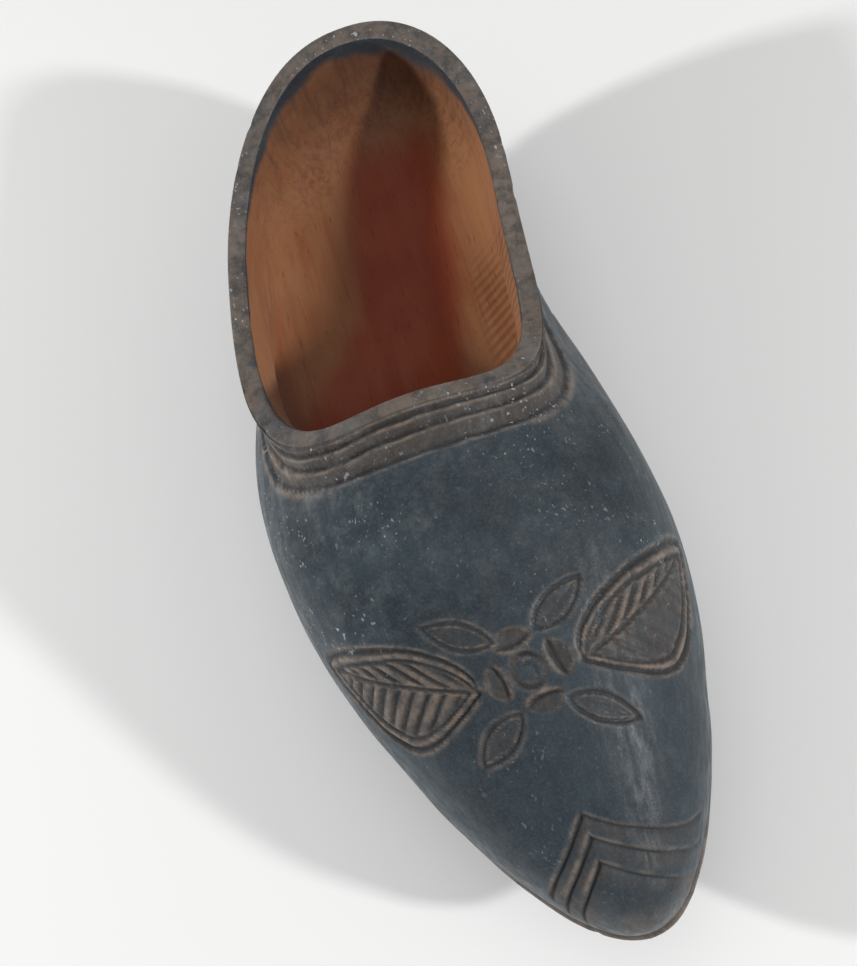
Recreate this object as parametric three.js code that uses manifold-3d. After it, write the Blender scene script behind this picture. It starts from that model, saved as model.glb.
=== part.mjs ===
// A right-foot wooden clog with a covered toe, carved from one billet.
// Millimetres, +Z up, standing on its heel and ball treads. X is the width, and the toe points to -Y.
// The walls are lofted through closed loops that fan round the opening. The first loop is the rim, lying
// almost level, and each later loop leans further forward, until it stands upright at the toes.

import * as THREE from 'three';
import { LoftGeometry } from 'three/addons/geometries/LoftGeometry.js';
import { mergeVertices } from 'three/addons/utils/BufferGeometryUtils.js';
import Module from 'manifold-3d';

// ---- driving dimensions ----
const clogLength = 280;
const heelWidth = 90;
const waistWidth = 87.5;
const ballWidth = 106;
const toeWidth = 77;
const noseWidth = 55;

const openingLength = 146;
const rimHeightBack = 63;
const rimDipBack = 17;
const rimDipFront = 20;
const rimOverhang = 3;
const instepHeight = 80;
const vampHeight = 71;
const toeHeight = 59;
const noseHeight = 50;
const nosePoleHeight = 30;
const noseOutlinePower = 1.9;
const noseBluntness = 0.6;
const poleRoundness = 0.9;
const crestEnd = 0.843 * clogLength;
const crestSpread = 1.25;

const heelHeight = 17;
const waistHeight = 19;
const toeSpring = 14;
const treadCut = 1.5;
const counterRise = 11;

const heelSwing = 14.5;
const ballSwing = 7.2;
const toeSwing = 15.7;

const rimWallBack = 7;
const rimWallSide = 6;
const rimWallFront = 5.5;
const rimRounding = 1.2;
const rimCrown = 0.8;
const sideWall = 8;
const vampThickness = 10;
const seatThickness = 10.5;
const ballThickness = 14.5;
const toeThickness = 27;
const noseFloorRise = 4;

const heelBlockRear = 36;
const heelBlockFront = 89;
const heelBlockWidth = 62;
const heelTreadRear = 45;
const heelTreadFront = 86;
const heelTreadWidth = 56;
const heelBlockSink = 6;
const heelEdgeRelief = 3;
const heelEdgeHeight = 3.4;
const heelBreastPower = 0.35;
const heelBackPower = 0.8;

// ---- mesh resolution ----
const pointsPerLoop = 48;
const outerFanLoops = 22;
const outerNoseLoops = 9;
const innerFanLoops = 16;
const innerNoseLoops = 6;
const heelOutlinePoints = 40;
const mergeDistance = 1e-4;

// ---- stations ----
// t runs from the rim (0) to the last leaning loop (1). keel is [distance from the back, height] of the
// lowest point, half is half the width, and belly is the share of the height at which that width lies.
// low and high are the corner roundness below and above the belly, and the dips lower the sides of a loop.
const half = (width) => width / 2;
const ofLength = (share) => share * clogLength;

const outerStations = [
  { t: 0.00, keel: [rimOverhang, rimHeightBack], half: half(heelWidth), belly: 0.50, low: 0.81, high: 0.51,
    dipBack: rimDipBack, dipFront: rimDipFront },
  { t: 0.10, keel: [1, 0.74 * rimHeightBack], half: half(heelWidth) - 0.8, belly: 0.50, low: 0.81, high: 0.56,
    dipBack: 0.75 * rimDipBack, dipFront: 0.77 * rimDipFront },
  { t: 0.20, keel: [ofLength(0.04), heelHeight + counterRise], half: half(waistWidth), belly: 0.48, low: 0.77,
    high: 0.63, dipBack: 0.38 * rimDipBack, dipFront: 0.55 * rimDipFront },
  { t: 0.30, keel: [ofLength(0.13), heelHeight + 1], half: half(waistWidth), belly: 0.47, low: 0.75,
    high: 0.68, dipBack: 0.15 * rimDipBack, dipFront: 0.40 * rimDipFront },
  { t: 0.42, keel: [ofLength(0.235), heelHeight], half: half(waistWidth) + 2.7, belly: 0.46, low: 0.70,
    high: 0.73, dipBack: 0, dipFront: 0.28 * rimDipFront },
  { t: 0.55, keel: [ofLength(0.37), waistHeight], half: half(ballWidth) - 1.2, belly: 0.44, low: 0.66,
    high: 0.79, dipBack: 0, dipFront: 0.15 * rimDipFront },
  { t: 0.70, keel: [ofLength(0.535), 5], half: half(ballWidth), belly: 0.42, low: 0.60, high: 0.85,
    dipBack: 0, dipFront: 0.04 * rimDipFront },
  { t: 0.85, keel: [ofLength(0.67), -treadCut], half: half(ballWidth) - 4.2, belly: 0.40, low: 0.59,
    high: 0.90, dipBack: 0, dipFront: 0 },
  { t: 1.00, keel: [ofLength(0.815), 4], half: half(toeWidth), belly: 0.42, low: 0.60, high: 0.92,
    dipBack: 0, dipFront: 0 },
];

// floor is the foot bed under the cavity; roofBack and roofDrop lead from the crest to the cavity's roof.
const innerStations = [
  { t: 0.00, floor: [rimOverhang + rimWallBack, rimHeightBack], roofBack: rimWallFront, roofDrop: 0.3,
    wall: rimWallSide },
  { t: 0.12, floor: [ofLength(0.032), 0.76 * rimHeightBack], roofBack: 8, roofDrop: 0.45 * vampThickness,
    wall: rimWallSide + 0.3 },
  { t: 0.24, floor: [ofLength(0.064), heelHeight + seatThickness + 0.55 * counterRise], roofBack: 9.5,
    roofDrop: 0.75 * vampThickness, wall: rimWallSide + 1.2 },
  { t: 0.38, floor: [ofLength(0.13), heelHeight + seatThickness], roofBack: 11, roofDrop: 0.85 * vampThickness,
    wall: sideWall + 0.8 },
  { t: 0.52, floor: [ofLength(0.25), heelHeight + seatThickness], roofBack: 12, roofDrop: 0.9 * vampThickness,
    wall: sideWall + 2.2 },
  { t: 0.66, floor: [ofLength(0.4), waistHeight + seatThickness - 0.5], roofBack: 11, roofDrop: vampThickness,
    wall: sideWall + 2 },
  { t: 0.80, floor: [ofLength(0.56), ballThickness + 0.5], roofBack: 11, roofDrop: vampThickness,
    wall: sideWall },
  { t: 1.00, floor: [ofLength(0.71), ballThickness], roofBack: 12, roofDrop: vampThickness,
    wall: sideWall - 1 },
];

// ---- small curve tools ----
const lerp = THREE.MathUtils.lerp;

// Cubic interpolation through (t, value) pairs with slopes taken from the neighbours.
function smoothThrough(times, values, t) {
  const last = times.length - 1;
  const slope = (i) => {
    const a = Math.max(i - 1, 0);
    const b = Math.min(i + 1, last);
    return (values[b] - values[a]) / (times[b] - times[a]);
  };
  let i = 0;
  while (i < last - 1 && t >= times[i + 1]) i += 1;
  const span = times[i + 1] - times[i];
  const u = (t - times[i]) / span;
  const u2 = u * u;
  const u3 = u2 * u;
  return (2 * u3 - 3 * u2 + 1) * values[i] + (u3 - 2 * u2 + u) * span * slope(i)
    + (3 * u2 - 2 * u3) * values[i + 1] + (u3 - u2) * span * slope(i + 1);
}

const readStation = (stations, pick, t) => smoothThrough(stations.map((s) => s.t), stations.map(pick), t);

// The sideways sweep of the centre line: heel and toe both lie towards the inner side of the foot.
function centreShift(s) {
  const places = [0, ofLength(0.39), ofLength(0.71), clogLength];
  return smoothThrough(places, [heelSwing, 0, ballSwing, toeSwing], THREE.MathUtils.clamp(s, 0, clogLength));
}

// The top line from the front of the opening to the toes.
function crestAt(t) {
  const s = lerp(openingLength, crestEnd, Math.max(t, 0) ** crestSpread);
  const places = [openingLength, (openingLength + crestEnd) / 2, crestEnd];
  return [s, smoothThrough(places, [instepHeight, vampHeight, toeHeight], s)];
}

// ---- loops ----
function outerLoop(t) {
  return {
    keel: [0, 1].map((axis) => readStation(outerStations, (s) => s.keel[axis], t)),
    crest: crestAt(t),
    half: readStation(outerStations, (s) => s.half, t),
    belly: readStation(outerStations, (s) => s.belly, t),
    low: readStation(outerStations, (s) => s.low, t),
    high: readStation(outerStations, (s) => s.high, t),
    dipBack: readStation(outerStations, (s) => s.dipBack, t),
    dipFront: readStation(outerStations, (s) => s.dipFront, t),
  };
}

function innerLoop(t) {
  const outside = outerLoop(t);
  const roofBack = readStation(innerStations, (s) => s.roofBack, t);
  const roofDrop = readStation(innerStations, (s) => s.roofDrop, t);
  return {
    ...outside,
    keel: [0, 1].map((axis) => readStation(innerStations, (s) => s.floor[axis], t)),
    crest: [outside.crest[0] - roofBack, outside.crest[1] - roofDrop],
    half: outside.half - readStation(innerStations, (s) => s.wall, t),
  };
}

// One closed loop. phi is 0 at the keel and PI at the crest; lift raises or lowers the whole loop.
function loopPoints(loop, lift = 0) {
  return Array.from({ length: pointsPerLoop }, (_, i) => {
    const phi = (-2 * Math.PI * i) / pointsPerLoop;
    const cosine = Math.cos(phi);
    const sine = Math.sin(phi);
    const power = cosine > 0 ? loop.low : loop.high;
    const side = Math.sign(sine) * Math.abs(sine) ** power;
    const bulge = Math.abs(cosine) ** power;
    const rise = cosine > 0 ? loop.belly * (1 - bulge) : loop.belly + (1 - loop.belly) * bulge;
    const s = lerp(loop.keel[0], loop.crest[0], rise);
    const dip = lerp(loop.dipBack, loop.dipFront, rise);
    const z = lerp(loop.keel[1], loop.crest[1], rise) - dip * side * side + lift;
    return new THREE.Vector3(centreShift(s) + loop.half * side, clogLength / 2 - s, z);
  });
}

// Loops that close the toe: from the last leaning loop, sizes carry on smoothly and shrink to a pole.
function capLoops(makeLoop, end, count) {
  const step = 1e-3;
  const last = makeLoop(1);
  const before = makeLoop(1 - step);
  const carryOn = (pick, place, target, reach) => {
    const slope = ((pick(last) - pick(before)) / (place(last) - place(before))) * (end.tip - place(last));
    return pick(last) + slope * reach + (target - pick(last) - slope) * reach * reach;
  };
  const keelPlace = (loop) => loop.keel[0];
  const crestPlace = (loop) => loop.crest[0];
  const middlePlace = (loop) => (loop.keel[0] + loop.crest[0]) / 2;
  return Array.from({ length: count }, (_, i) => {
    const angle = (Math.PI / 2) * ((i + 1) / count);
    const shrink = Math.cos(angle);
    const reach = (Math.sin(angle) ** 2) ** (1 / noseOutlinePower);
    const sink = shrink ** noseBluntness;
    const top = carryOn((loop) => loop.crest[1], crestPlace, end.top, reach);
    const bottom = carryOn((loop) => loop.keel[1], keelPlace, end.bottom, reach);
    const width = carryOn((loop) => loop.half, middlePlace, end.half, reach);
    return {
      ...last,
      keel: [lerp(last.keel[0], end.tip, reach), lerp(end.pole, bottom, sink)],
      crest: [lerp(last.crest[0], end.tip, reach), lerp(end.pole, top, sink)],
      half: width * shrink,
      low: lerp(last.low, poleRoundness, reach),
    };
  });
}

// ---- solids ----
// Shared corners are merged, and the collapsed triangles at a pole are left out.
function toSolid(wasm, geometry) {
  const plain = new THREE.BufferGeometry();
  plain.setAttribute('position', geometry.attributes.position);
  plain.setIndex(geometry.index);
  const merged = mergeVertices(plain, mergeDistance);
  const corners = [...merged.index.array];
  const triangles = Array.from({ length: corners.length / 3 }, (_, i) => corners.slice(3 * i, 3 * i + 3));
  const whole = triangles.filter((triangle) => new Set(triangle).size === 3);
  return new wasm.Manifold(new wasm.Mesh({
    numProp: 3,
    vertProperties: new Float32Array(merged.attributes.position.array),
    triVerts: new Uint32Array(whole.flat()),
  }));
}

function toGeometry(solid) {
  const mesh = solid.getMesh();
  const geometry = new THREE.BufferGeometry();
  geometry.setAttribute('position', new THREE.BufferAttribute(new Float32Array(mesh.vertProperties), 3));
  geometry.setIndex(new THREE.BufferAttribute(new Uint32Array(mesh.triVerts), 1));
  geometry.computeVertexNormals();
  return geometry;
}

// The hollow shoe: outside from the toe back to the rim, over the rim, and inside back to the toes.
function hollowShoe() {
  const noseEnd = { tip: clogLength, pole: nosePoleHeight, top: noseHeight, bottom: toeSpring,
    half: half(noseWidth) };
  const cavityEnd = { tip: clogLength - toeThickness, pole: nosePoleHeight, top: noseHeight - vampThickness,
    bottom: toeSpring + noseFloorRise, half: half(noseWidth) - sideWall };
  const fan = (count) => Array.from({ length: count + 1 }, (_, i) => i / count);
  const outside = fan(outerFanLoops).map(outerLoop);
  const inside = fan(innerFanLoops).map(innerLoop);
  const outerTop = { ...outside[0], half: outside[0].half - rimRounding,
    keel: [outside[0].keel[0] + rimRounding, outside[0].keel[1]],
    crest: [outside[0].crest[0] - rimRounding, outside[0].crest[1]] };
  const innerTop = { ...inside[0], half: inside[0].half + rimRounding,
    keel: [inside[0].keel[0] - rimRounding, inside[0].keel[1]],
    crest: [inside[0].crest[0] + rimRounding, inside[0].crest[1]] };
  const sections = [
    ...capLoops(outerLoop, noseEnd, outerNoseLoops).reverse().map((loop) => loopPoints(loop)),
    ...outside.slice(1).reverse().map((loop) => loopPoints(loop)),
    loopPoints(outside[0]),
    loopPoints(outerTop, rimCrown),
    loopPoints(innerTop, rimCrown),
    loopPoints(inside[0]),
    ...inside.slice(1).map((loop) => loopPoints(loop)),
    ...capLoops(innerLoop, cavityEnd, innerNoseLoops).map((loop) => loopPoints(loop)),
  ];
  return new LoftGeometry(sections);
}

// The heel under the seat: a block with a round back and a nearly straight breast, narrowing to its tread.
function heelOutline(rear, front, width, z) {
  const middle = lerp(rear, front, 0.5);
  const reach = (front - rear) / 2;
  return Array.from({ length: heelOutlinePoints }, (_, i) => {
    const angle = (2 * Math.PI * i) / heelOutlinePoints;
    const forward = Math.cos(angle);
    const sideways = Math.sin(angle);
    const power = forward > 0 ? heelBreastPower : heelBackPower;
    const s = middle + reach * Math.sign(forward) * Math.abs(forward) ** power;
    const x = half(width) * Math.sign(sideways) * Math.abs(sideways) ** power;
    return new THREE.Vector3(centreShift(s) + x, clogLength / 2 - s, z);
  });
}

function heelBlock() {
  const tread = heelOutline(heelTreadRear, heelTreadFront, heelTreadWidth, 0);
  const edge = heelOutline(heelTreadRear - heelEdgeRelief, heelTreadFront + 1,
    heelTreadWidth + heelEdgeRelief, heelEdgeHeight);
  const top = heelOutline(heelBlockRear, heelBlockFront, heelBlockWidth, heelHeight + heelBlockSink);
  return new LoftGeometry([tread, edge, top], { capStart: true, capEnd: true });
}

function groundBlock() {
  const depth = 40;
  const block = new THREE.BoxGeometry(2 * ballWidth, 2 * clogLength, depth);
  block.translate(0, 0, -depth / 2);
  return block;
}

// ---- assembly ----
const wasm = await Module();
wasm.setup();

const shoe = toSolid(wasm, hollowShoe());
const heel = toSolid(wasm, heelBlock());
const ground = toSolid(wasm, groundBlock());
const carved = shoe.add(heel).subtract(ground);

const body = toGeometry(carved);
body.computeBoundingBox();
const middle = body.boundingBox.getCenter(new THREE.Vector3());
body.translate(-middle.x, -middle.y, 0);

const paintedWood = new THREE.MeshStandardMaterial({ color: 0x444b52, roughness: 0.55, metalness: 0 });
const clogBody = new THREE.Mesh(body, paintedWood);
clogBody.name = 'clog_body';

const clog = new THREE.Group();
clog.name = 'wooden_clog';
clog.add(clogBody);

export default clog;
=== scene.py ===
"""A worn wooden clog in slate-blue paint, hand carved from one block, standing on a pale floor.

The form is worked out in millimetres, in the shoemaker's terms: distances from the back of the heel, heights
over the ground, and leaning loops of wood that fan round the opening from the rim to the toe. A mesh is then
placed in metres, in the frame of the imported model.
"""

from __future__ import annotations

import logging
import math
from dataclasses import dataclass, fields, replace
from enum import Enum

import bmesh
import bpy
import numpy as np
from mathutils import Matrix, Vector


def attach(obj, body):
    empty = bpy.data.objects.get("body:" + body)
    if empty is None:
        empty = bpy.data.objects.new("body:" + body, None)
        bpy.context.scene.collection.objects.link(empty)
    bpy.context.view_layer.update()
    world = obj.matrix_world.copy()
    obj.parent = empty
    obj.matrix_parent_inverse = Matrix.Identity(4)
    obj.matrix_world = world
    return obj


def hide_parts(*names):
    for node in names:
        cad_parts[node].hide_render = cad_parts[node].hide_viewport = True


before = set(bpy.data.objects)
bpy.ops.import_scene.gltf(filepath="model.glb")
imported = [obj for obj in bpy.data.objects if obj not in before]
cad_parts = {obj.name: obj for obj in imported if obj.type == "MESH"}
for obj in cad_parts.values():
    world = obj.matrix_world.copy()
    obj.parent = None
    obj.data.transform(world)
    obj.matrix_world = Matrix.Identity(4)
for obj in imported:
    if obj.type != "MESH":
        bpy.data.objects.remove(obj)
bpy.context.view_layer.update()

log = logging.getLogger("clog")
MM = 0.001
Array = np.ndarray


# ---- curve and pattern tools ----


def lerp(a: Array | float, b: Array | float, share: Array | float) -> Array | float:
    """Returns the value that lies the given share of the way from a to b."""
    return a + (b - a) * share


def ease(value: Array | float, low: float, high: float) -> Array:
    """Rises smoothly from 0 at low to 1 at high.

    Args:
        value: where to read the rise.
        low: where it starts.
        high: where it ends; it may be below low for a fall.

    Returns:
        The height of the rise, from 0 to 1.
    """
    share = np.clip((np.asarray(value, float) - low) / (high - low), 0.0, 1.0)
    return share * share * (3.0 - 2.0 * share)


def smooth_through(times: list[float], values: list[float], t: Array) -> Array:
    """Reads a smooth curve through pairs, with slopes taken from the neighbours.

    Args:
        times: where the values stand, rising.
        values: the values.
        t: where to read the curve.

    Returns:
        One value for each place in t.
    """
    at = np.asarray(times, float)
    to = np.asarray(values, float)
    last = len(at) - 1
    steps = np.arange(last + 1)
    below = np.maximum(steps - 1, 0)
    above = np.minimum(steps + 1, last)
    slopes = (to[above] - to[below]) / (at[above] - at[below])
    i = np.clip(np.searchsorted(at, t, side="right") - 1, 0, last - 1)
    span = at[i + 1] - at[i]
    u = (t - at[i]) / span
    u2 = u * u
    u3 = u2 * u
    start = (2 * u3 - 3 * u2 + 1) * to[i] + (u3 - 2 * u2 + u) * span * slopes[i]
    return start + (3 * u2 - 2 * u3) * to[i + 1] + (u3 - u2) * span * slopes[i + 1]


def wander(points: Array, size: float, seed: int, stretch: tuple[float, float, float] = (1, 1, 1)) -> Array:
    """Reads a soft random field, the way a hand strays.

    Args:
        points: places, in millimetres, with the last axis of length 3.
        size: the width of one wave of the field, in millimetres.
        seed: which field.
        stretch: how many times longer the waves are along each axis.

    Returns:
        One value from -1 to 1 for each place.
    """
    count = 32
    lattice = np.random.default_rng(seed).uniform(-1.0, 1.0, (count, count, count))
    scaled = points / (size * np.asarray(stretch, float)) + 211.3
    whole = np.floor(scaled).astype(int)
    part = scaled - whole
    part = part * part * (3.0 - 2.0 * part)
    total = np.zeros(points.shape[:-1])
    for dx in (0, 1):
        for dy in (0, 1):
            for dz in (0, 1):
                corner = (whole + (dx, dy, dz)) % count
                weight = np.prod(np.where(np.array((dx, dy, dz)) == 1, part, 1.0 - part), axis=-1)
                total += weight * lattice[corner[..., 0], corner[..., 1], corner[..., 2]]
    return total


def vee(distance: Array, half_width: float, depth: float) -> Array:
    """Returns how deep a V-tool cut is at a distance from its centre line."""
    return depth * np.clip(1.0 - np.abs(distance) / half_width, 0.0, 1.0) ** 1.15


def softened(values: Array, passes: int) -> Array:
    """Averages a grid of values with its neighbours.

    Args:
        values: the grid; each row is a closed ring.
        passes: how many times.

    Returns:
        The averaged grid.
    """
    result = values.copy()
    for _ in range(passes):
        result = (np.roll(result, 1, axis=1) + 2.0 * result + np.roll(result, -1, axis=1)) / 4
        result[1:-1] = (result[:-2] + 2.0 * result[1:-1] + result[2:]) / 4
    return result


# ---- the form ----


@dataclass(frozen=True)
class ClogSizes:
    """The sizes of the clog, in millimetres."""

    length: float = 280.0
    heel_width: float = 90.0
    waist_width: float = 87.5
    ball_width: float = 106.0
    toe_width: float = 77.0
    nose_width: float = 55.0
    opening: float = 146.0
    rim_back: float = 63.0
    rim_dip_back: float = 17.0
    rim_dip_front: float = 20.0
    rim_overhang: float = 3.0
    instep: float = 80.0
    vamp: float = 71.0
    toe: float = 59.0
    nose: float = 50.0
    nose_pole: float = 30.0
    nose_outline: float = 1.9
    nose_bluntness: float = 0.6
    pole_roundness: float = 0.9
    crest_end: float = 0.843 * 280.0
    crest_spread: float = 1.25
    heel_height: float = 17.0
    waist_height: float = 19.0
    toe_spring: float = 14.0
    tread_cut: float = 1.5
    counter_rise: float = 11.0
    heel_swing: float = 14.5
    ball_swing: float = 7.2
    toe_swing: float = 15.7
    rim_wall_back: float = 7.0
    rim_wall_side: float = 6.0
    rim_wall_front: float = 4.3
    rim_crown: float = 0.8
    side_wall: float = 8.0
    vamp_thickness: float = 10.0
    seat_thickness: float = 10.5
    ball_thickness: float = 14.5
    toe_thickness: float = 27.0
    nose_floor_rise: float = 4.0
    middle: tuple[float, float] = (3.19, -0.366)

    def swing(self, s: Array) -> Array:
        """Finds how far the centre line lies sideways.

        Args:
            s: distances from the back of the heel.

        Returns:
            One shift towards the inner side for each distance.
        """
        places = [0.0, 0.39 * self.length, 0.71 * self.length, self.length]
        shifts = [self.heel_swing, 0.0, self.ball_swing, self.toe_swing]
        return smooth_through(places, shifts, np.clip(s, 0.0, self.length))

    def placed(self, points: Array) -> Array:
        """Moves loft points, in millimetres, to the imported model's place, in metres."""
        return (points - np.array((self.middle[0], self.middle[1], 0.0))) * MM


@dataclass(frozen=True)
class Loops:
    """A row of closed loops, each field with one value a loop.

    A loop runs from its keel, the lowest point, round the side to its crest, the highest.
    """

    keel_s: Array
    keel_z: Array
    crest_s: Array
    crest_z: Array
    half: Array
    belly: Array
    low: Array
    high: Array
    dip_back: Array
    dip_front: Array
    lift: Array

    @staticmethod
    def joined(parts: list[Loops]) -> Loops:
        """Strings several rows of loops together, in order."""
        return Loops(*(np.concatenate([getattr(part, f.name) for part in parts]) for f in fields(Loops)))

    def points(self, sizes: ClogSizes, phi: Array) -> Array:
        """Places points on every loop.

        Args:
            sizes: the clog's sizes.
            phi: angles round the loop, 0 at the keel and pi at the crest.

        Returns:
            An array of loops by angles by 3, in millimetres.
        """
        cosine = np.cos(phi)[None, :]
        sine = np.sin(phi)[None, :]
        power = np.where(cosine > 0, self.low[:, None], self.high[:, None])
        side = np.sign(sine) * np.abs(sine) ** power
        bulge = np.abs(cosine) ** power
        belly = self.belly[:, None]
        rise = np.where(cosine > 0, belly * (1 - bulge), belly + (1 - belly) * bulge)
        s = lerp(self.keel_s[:, None], self.crest_s[:, None], rise)
        dip = lerp(self.dip_back[:, None], self.dip_front[:, None], rise)
        z = lerp(self.keel_z[:, None], self.crest_z[:, None], rise) - dip * side * side + self.lift[:, None]
        x = sizes.swing(s) + self.half[:, None] * side
        return np.stack([x, sizes.length / 2 - s, z], axis=-1)


@dataclass(frozen=True)
class LoopFan:
    """The loops that fan round the opening, outside and inside, and close round the nose."""

    sizes: ClogSizes

    def outer(self, t: Array) -> Loops:
        """Sizes the outside loops.

        Args:
            t: which loops, from 0 at the rim to 1 at the last leaning one.

        Returns:
            The loops.
        """
        c = self.sizes
        times = [0.0, 0.10, 0.20, 0.30, 0.42, 0.55, 0.70, 0.85, 1.0]
        share = c.length
        keel_s = [c.rim_overhang, 1.0, 0.04 * share, 0.13 * share, 0.235 * share, 0.37 * share, 0.535 * share,
                  0.67 * share, 0.815 * share]
        keel_z = [c.rim_back, 0.74 * c.rim_back, c.heel_height + c.counter_rise, c.heel_height + 1.0,
                  c.heel_height, c.waist_height, 5.0, -c.tread_cut, 4.0]
        heel, waist, ball = c.heel_width / 2, c.waist_width / 2, c.ball_width / 2
        halves = [heel, heel - 0.8, waist, waist, waist + 2.7, ball - 1.2, ball, ball - 4.2, c.toe_width / 2]
        belly = [0.50, 0.50, 0.48, 0.47, 0.46, 0.44, 0.42, 0.40, 0.42]
        low = [0.81, 0.81, 0.77, 0.75, 0.70, 0.66, 0.60, 0.59, 0.60]
        high = [0.51, 0.56, 0.63, 0.68, 0.73, 0.79, 0.85, 0.90, 0.92]
        dip_back = [c.rim_dip_back * k for k in (1.0, 0.75, 0.38, 0.15, 0.0, 0.0, 0.0, 0.0, 0.0)]
        dip_front = [c.rim_dip_front * k for k in (1.0, 0.77, 0.55, 0.40, 0.28, 0.15, 0.04, 0.0, 0.0)]
        crest_s = lerp(c.opening, c.crest_end, np.maximum(t, 0.0) ** c.crest_spread)
        crest_places = [c.opening, (c.opening + c.crest_end) / 2, c.crest_end]
        crest_z = smooth_through(crest_places, [c.instep, c.vamp, c.toe], crest_s)
        read = [smooth_through(times, column, t)
                for column in (keel_s, keel_z, halves, belly, low, high, dip_back, dip_front)]
        return Loops(read[0], read[1], crest_s, crest_z, *read[2:], np.zeros_like(t))

    def inner(self, t: Array) -> Loops:
        """Sizes the inside loops, a wall's thickness within the outside ones.

        Args:
            t: which loops, from 0 at the rim to 1 at the last leaning one.

        Returns:
            The loops.
        """
        c = self.sizes
        times = [0.0, 0.12, 0.24, 0.38, 0.52, 0.66, 0.80, 1.0]
        share = c.length
        seat = c.heel_height + c.seat_thickness
        floor_s = [c.rim_overhang + c.rim_wall_back, 0.032 * share, 0.064 * share, 0.13 * share, 0.25 * share,
                   0.4 * share, 0.56 * share, 0.71 * share]
        floor_z = [c.rim_back, 0.76 * c.rim_back, seat + 0.55 * c.counter_rise, seat, seat,
                   c.waist_height + c.seat_thickness - 0.5, c.ball_thickness + 0.5, c.ball_thickness]
        roof_back = [c.rim_wall_front, 8.0, 9.5, 11.0, 12.0, 11.0, 11.0, 12.0]
        drops = (0.03, 0.45, 0.75, 0.85, 0.9, 1.0, 1.0, 1.0)
        roof_drop = [c.vamp_thickness * k for k in drops]
        rim, side = c.rim_wall_side, c.side_wall
        walls = [rim, rim + 0.3, rim + 1.2, side + 0.8, side + 2.2, side + 2.0, side, side - 1.0]
        read = [smooth_through(times, column, t) for column in (floor_s, floor_z, roof_back, roof_drop, walls)]
        outside = self.outer(t)
        return replace(outside, keel_s=read[0], keel_z=read[1], crest_s=outside.crest_s - read[2],
                       crest_z=outside.crest_z - read[3], half=outside.half - read[4])

    def over_rim(self, share: Array) -> Loops:
        """Sizes the loops over the rim's rounded top.

        Args:
            share: which loops, from 0 at the outer edge to 1 at the inner.

        Returns:
            The loops.
        """
        outside = self.outer(np.zeros_like(share))
        inside = self.inner(np.zeros_like(share))
        crown = (1.0 - np.abs(2.0 * share - 1.0) ** 2.6) ** (1.0 / 2.6)
        return replace(outside, keel_s=lerp(outside.keel_s, inside.keel_s, share),
                       keel_z=lerp(outside.keel_z, inside.keel_z, share),
                       crest_s=lerp(outside.crest_s, inside.crest_s, share),
                       crest_z=lerp(outside.crest_z, inside.crest_z, share),
                       half=lerp(outside.half, inside.half, share), lift=self.sizes.rim_crown * crown)

    def cap(self, inside: bool, angle: Array) -> Loops:
        """Closes the toe, with sizes that carry on smoothly and shrink to a pole.

        Args:
            inside: whether this is the cavity's end.
            angle: from 0 at the last leaning loop to pi / 2 at the pole.

        Returns:
            One loop for each angle.
        """
        c = self.sizes
        make = self.inner if inside else self.outer
        tip = c.length - (c.toe_thickness if inside else 0.0)
        end_top = c.nose - (c.vamp_thickness if inside else 0.0)
        end_low = c.toe_spring + (c.nose_floor_rise if inside else 0.0)
        end_half = c.nose_width / 2 - (c.side_wall if inside else 0.0)
        last = make(np.array([1.0]))
        before = make(np.array([1.0 - 1e-3]))
        shrink = np.cos(angle)
        reach = (np.sin(angle) ** 2) ** (1.0 / c.nose_outline)
        sink = shrink ** c.nose_bluntness

        def carry_on(ends: tuple[Array, Array], places: tuple[Array, Array], target: float) -> Array:
            """Carries a size on from its slope at the last loop to its target at the tip."""
            slope = (ends[0] - ends[1]) / (places[0] - places[1]) * (tip - places[0])
            return ends[0] + slope * reach + (target - ends[0] - slope) * reach * reach

        keels = (last.keel_s, before.keel_s)
        crests = (last.crest_s, before.crest_s)
        middles = ((keels[0] + crests[0]) / 2, (keels[1] + crests[1]) / 2)
        top = carry_on((last.crest_z, before.crest_z), crests, end_top)
        bottom = carry_on((last.keel_z, before.keel_z), keels, end_low)
        width = carry_on((last.half, before.half), middles, end_half)
        ones = np.ones_like(angle)
        return Loops(lerp(last.keel_s, tip, reach), lerp(c.nose_pole, bottom, sink),
                     lerp(last.crest_s, tip, reach), lerp(c.nose_pole, top, sink), width * shrink,
                     last.belly * ones, lerp(last.low, c.pole_roundness, reach), last.high * ones,
                     0.0 * ones, 0.0 * ones, 0.0 * ones)

    def outside_from_rim(self, place: Array) -> Loops:
        """Strings the outside loops from the rim to the nose.

        Args:
            place: rising places: 0 at the rim, 1 at the last leaning loop and 2 at the nose.

        Returns:
            The loops.
        """
        fan = place[place <= 1.0]
        nose = place[place > 1.0]
        return Loops.joined([self.outer(fan), self.cap(False, (nose - 1.0) * math.pi / 2)])

    def inside_from_rim(self, place: Array) -> Loops:
        """Strings the inside loops from the rim to the toe end.

        Args:
            place: rising places: 0 at the rim, 1 at the last leaning loop and 2 at the toe end.

        Returns:
            The loops.
        """
        fan = place[place <= 1.0]
        nose = place[place > 1.0]
        return Loops.joined([self.inner(fan), self.cap(True, (nose - 1.0) * math.pi / 2)])


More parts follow.
